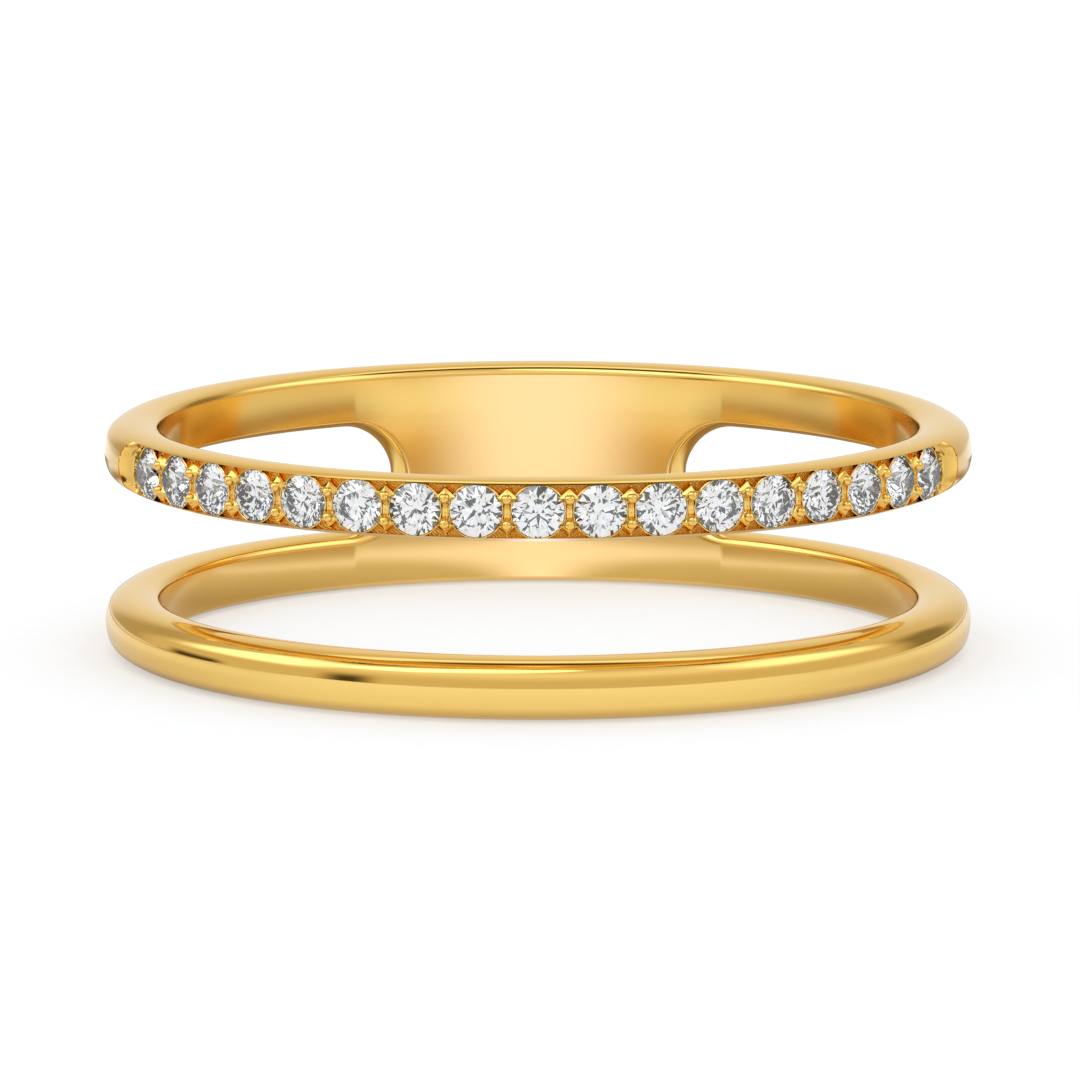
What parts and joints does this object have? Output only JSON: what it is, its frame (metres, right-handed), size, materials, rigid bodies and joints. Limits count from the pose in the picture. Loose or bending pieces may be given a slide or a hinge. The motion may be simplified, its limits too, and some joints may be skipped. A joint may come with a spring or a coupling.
{
  "type": "double ring",
  "caption": "Finger ring of two parallel bands joined by a broad bridge at the back, with a row of round brilliant stones bead-set along the front of the upper band.",
  "frame": {"origin": "on the finger's axis, at the lower face of the plain band, which rests on the surface", "axes": "+Z along the finger hole from the plain band to the band with stones, -Y towards the middle stone, +Y towards the bridge"},
  "size_m": [0.0198, 0.0198, 0.0053],
  "materials": {
    "gold": "polished yellow gold",
    "stone": "clear, faceted and polished"
  },
  "bodies": {
    "root": {"shank": "gold", "stone_01": "stone", "stone_02": "stone", "stone_03": "stone", "stone_04": "stone", "stone_05": "stone", "stone_06": "stone", "stone_07": "stone", "stone_08": "stone", "stone_09": "stone", "stone_10": "stone", "stone_11": "stone", "stone_12": "stone", "stone_13": "stone", "stone_14": "stone", "stone_15": "stone", "stone_16": "stone", "stone_17": "stone"}
  },
  "joints": []
}
